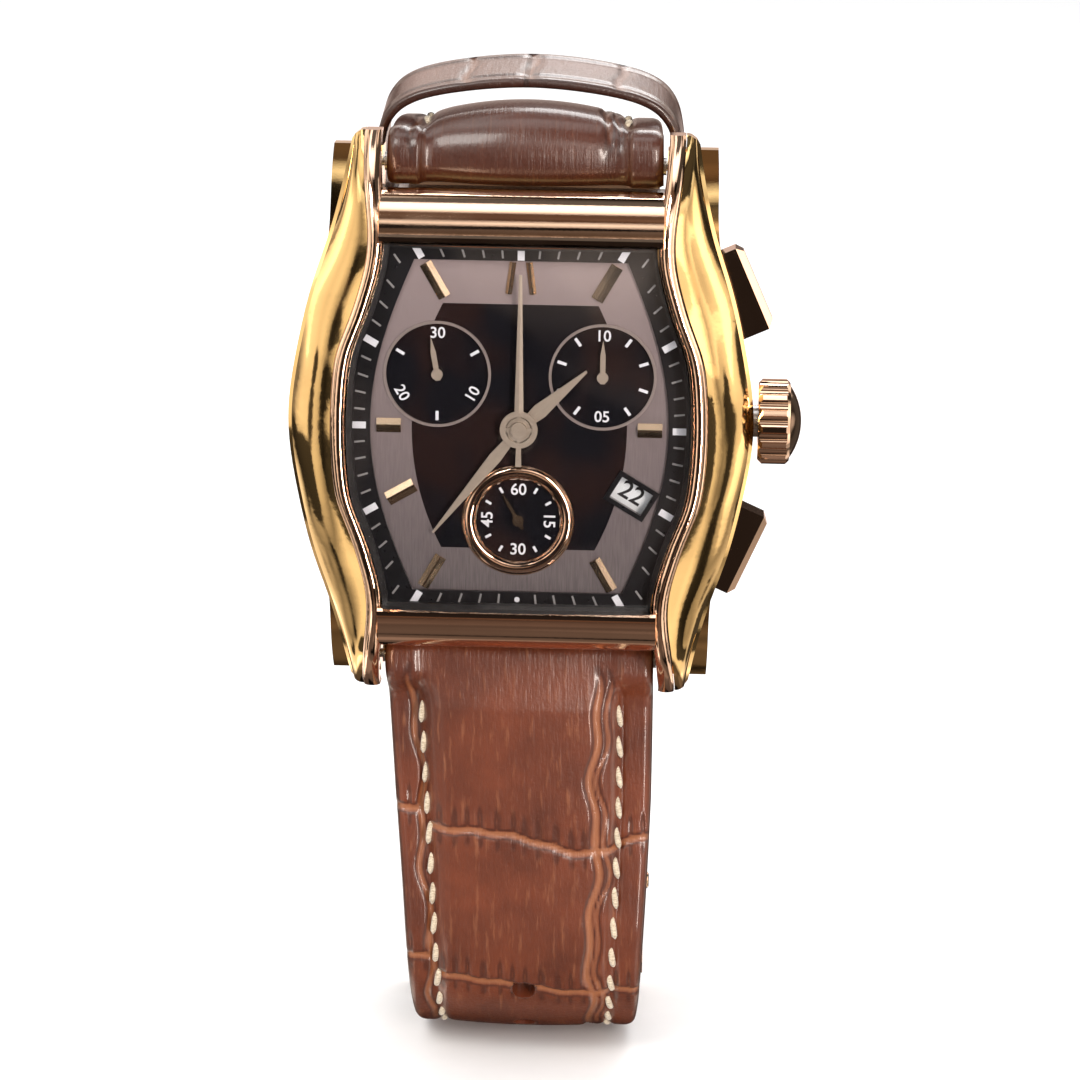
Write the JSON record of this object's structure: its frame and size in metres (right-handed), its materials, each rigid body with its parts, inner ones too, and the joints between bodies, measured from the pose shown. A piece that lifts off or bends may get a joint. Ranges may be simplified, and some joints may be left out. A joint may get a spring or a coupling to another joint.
{
  "type": "chronograph wristwatch",
  "caption": "Barrel-shaped chronograph wristwatch in gold-coloured metal on a padded brown leather strap, buckled into its loop.",
  "frame": {"origin": "centre of the caseback's outer face", "axes": "the dial faces -Y, 12 o'clock points up +Z and the crown points to +X; the strap loop lies on the +Y side"},
  "size_m": [0.0411, 0.0353, 0.0841],
  "materials": {
    "gold": "polished yellow gold plating",
    "rose_gold": "polished rose gold plating",
    "steel": "brushed",
    "crystal": "polished curved crystal",
    "gasket": "matte",
    "flange": "satin black",
    "dial": "satin taupe and black",
    "dark_gold": "polished dark champagne",
    "markers": "polished, faceted",
    "hands": "satin champagne",
    "holder_plastic": "moulded",
    "brass": "machined",
    "board": "green solder mask",
    "copper": "wound enamelled wire",
    "date_white": "satin white",
    "strap_leather": "glossy embossed crocodile grain",
    "strap_lining": "smooth matte"
  },
  "bodies": {
    "watch": {"battery": "steel", "battery_clamp": "steel", "bezel": "rose_gold", "buckle_bar": "rose_gold", "case_middle": "gold", "caseback": "steel", "caseback_gasket": "gasket", "caseback_screws": "steel", "circuit_board": "board", "counter_rings": "dark_gold", "crown_tube": "steel", "crystal": "crystal", "crystal_gasket": "gasket", "date_frame": "flange", "dial": "dial", "drive_coils": "copper", "fixed_keeper": "strap_leather", "flange": "flange", "hour_markers": "markers", "left_flank": "gold", "lower_strap": "strap_leather", "lower_strap_lining": "strap_lining", "main_plate": "brass", "movement_holder": "holder_plastic", "movement_screws": "steel", "pusher_tubes": "steel", "quartz_can": "steel", "reset_pusher_spring": "steel", "right_flank": "gold", "seconds_ring": "rose_gold", "spring_bars": "steel", "start_pusher_spring": "steel", "train_bridge": "brass", "upper_strap": "strap_leather", "upper_strap_lining": "strap_lining"},
    "crown_carrier": {"crown_gasket": "gasket"},
    "crown": {"crown": "rose_gold", "stem": "steel"},
    "start_pusher": {"start_pusher": "rose_gold", "start_pusher_stem": "steel"},
    "reset_pusher": {"reset_pusher": "rose_gold", "reset_pusher_stem": "steel"},
    "minute_works": {"cannon_pinion": "brass", "minute_hand": "hands"},
    "minute_wheel": {"minute_wheel": "brass"},
    "hour_works": {"hour_wheel": "brass", "hour_hand": "hands"},
    "date_disc": {"date_disc": "date_white"},
    "running_seconds": {"seconds_arbor": "steel", "seconds_hand": "markers"},
    "chronograph_seconds": {"chrono_arbor": "steel", "chrono_hand": "hands"},
    "minute_counter": {"minute_counter_arbor": "steel", "minute_counter_hand": "hands"},
    "tenth_counter": {"tenth_counter_arbor": "steel", "tenth_counter_hand": "hands"},
    "free_keeper": {"free_keeper": "strap_leather"},
    "buckle_frame": {"buckle_frame": "rose_gold"},
    "buckle_tongue": {"buckle_tongue": "rose_gold"}
  },
  "joints": [
    {"name": "crown_pull", "type": "slide", "parent": "watch", "child": "crown_carrier", "axis": [1, 0, 0], "range_m": [0, 0.001]},
    {"name": "crown_turn", "type": "hinge", "parent": "crown_carrier", "child": "crown", "pos_m": [0.02, -0.0036, 0], "axis": [1, 0, 0], "continuous": true},
    {"name": "start_press", "type": "slide", "parent": "watch", "child": "start_pusher", "axis": [-0.9135, 0, -0.4067], "range_m": [0, 0.0008], "stiffness_N_per_m": 400, "deforming": ["start_pusher_spring"]},
    {"name": "reset_press", "type": "slide", "parent": "watch", "child": "reset_pusher", "axis": [-0.9135, 0, 0.4067], "range_m": [0, 0.0008], "stiffness_N_per_m": 400, "deforming": ["reset_pusher_spring"]},
    {"name": "minute_turn", "type": "hinge", "parent": "watch", "child": "minute_works", "pos_m": [0, 0, 0], "axis": [0, 1, 0], "continuous": true},
    {"name": "minute_wheel_turn", "type": "hinge", "parent": "watch", "child": "minute_wheel", "pos_m": [-0.00144, -0.007, -0.00249], "axis": [0, 1, 0], "continuous": true},
    {"name": "hour_turn", "type": "hinge", "parent": "watch", "child": "hour_works", "pos_m": [0, 0, 0], "axis": [0, 1, 0], "continuous": true},
    {"name": "date_turn", "type": "hinge", "parent": "watch", "child": "date_disc", "pos_m": [0, 0, 0], "axis": [0, 1, 0], "continuous": true},
    {"name": "seconds_turn", "type": "hinge", "parent": "watch", "child": "running_seconds", "pos_m": [0, 0, -0.00755], "axis": [0, 1, 0], "continuous": true},
    {"name": "chrono_turn", "type": "hinge", "parent": "watch", "child": "chronograph_seconds", "pos_m": [0, 0, 0], "axis": [0, 1, 0], "continuous": true},
    {"name": "minute_counter_turn", "type": "hinge", "parent": "watch", "child": "minute_counter", "pos_m": [-0.00655, 0, 0.0042], "axis": [0, 1, 0], "continuous": true},
    {"name": "tenth_counter_turn", "type": "hinge", "parent": "watch", "child": "tenth_counter", "pos_m": [0.00655, 0, 0.0042], "axis": [0, 1, 0], "continuous": true},
    {"name": "free_keeper_slide", "type": "hinge", "parent": "watch", "child": "free_keeper", "pos_m": [0, 0.00191, 0.00779], "axis": [-1, 0, 0], "range_deg": [0, 40]},
    {"name": "buckle_frame_swing", "type": "hinge", "parent": "watch", "child": "buckle_frame", "pos_m": [0, 0.0169, -0.046], "axis": [1, 0, 0], "range_deg": [0, 15]},
    {"name": "buckle_tongue_swing", "type": "hinge", "parent": "buckle_frame", "child": "buckle_tongue", "pos_m": [0, 0.0169, -0.046], "axis": [1, 0, 0], "range_deg": [0, 35]}
  ],
  "couplings": [
    {"joint": "minute_wheel_turn", "follows": "minute_turn", "ratio": -0.33333},
    {"joint": "hour_turn", "follows": "minute_turn", "ratio": 0.083333},
    {"joint": "date_turn", "follows": "minute_turn", "ratio": 0.0013441},
    {"joint": "seconds_turn", "follows": "minute_turn", "ratio": 60},
    {"joint": "minute_counter_turn", "follows": "chrono_turn", "ratio": 0.033333},
    {"joint": "tenth_counter_turn", "follows": "chrono_turn", "ratio": 60}
  ]
}
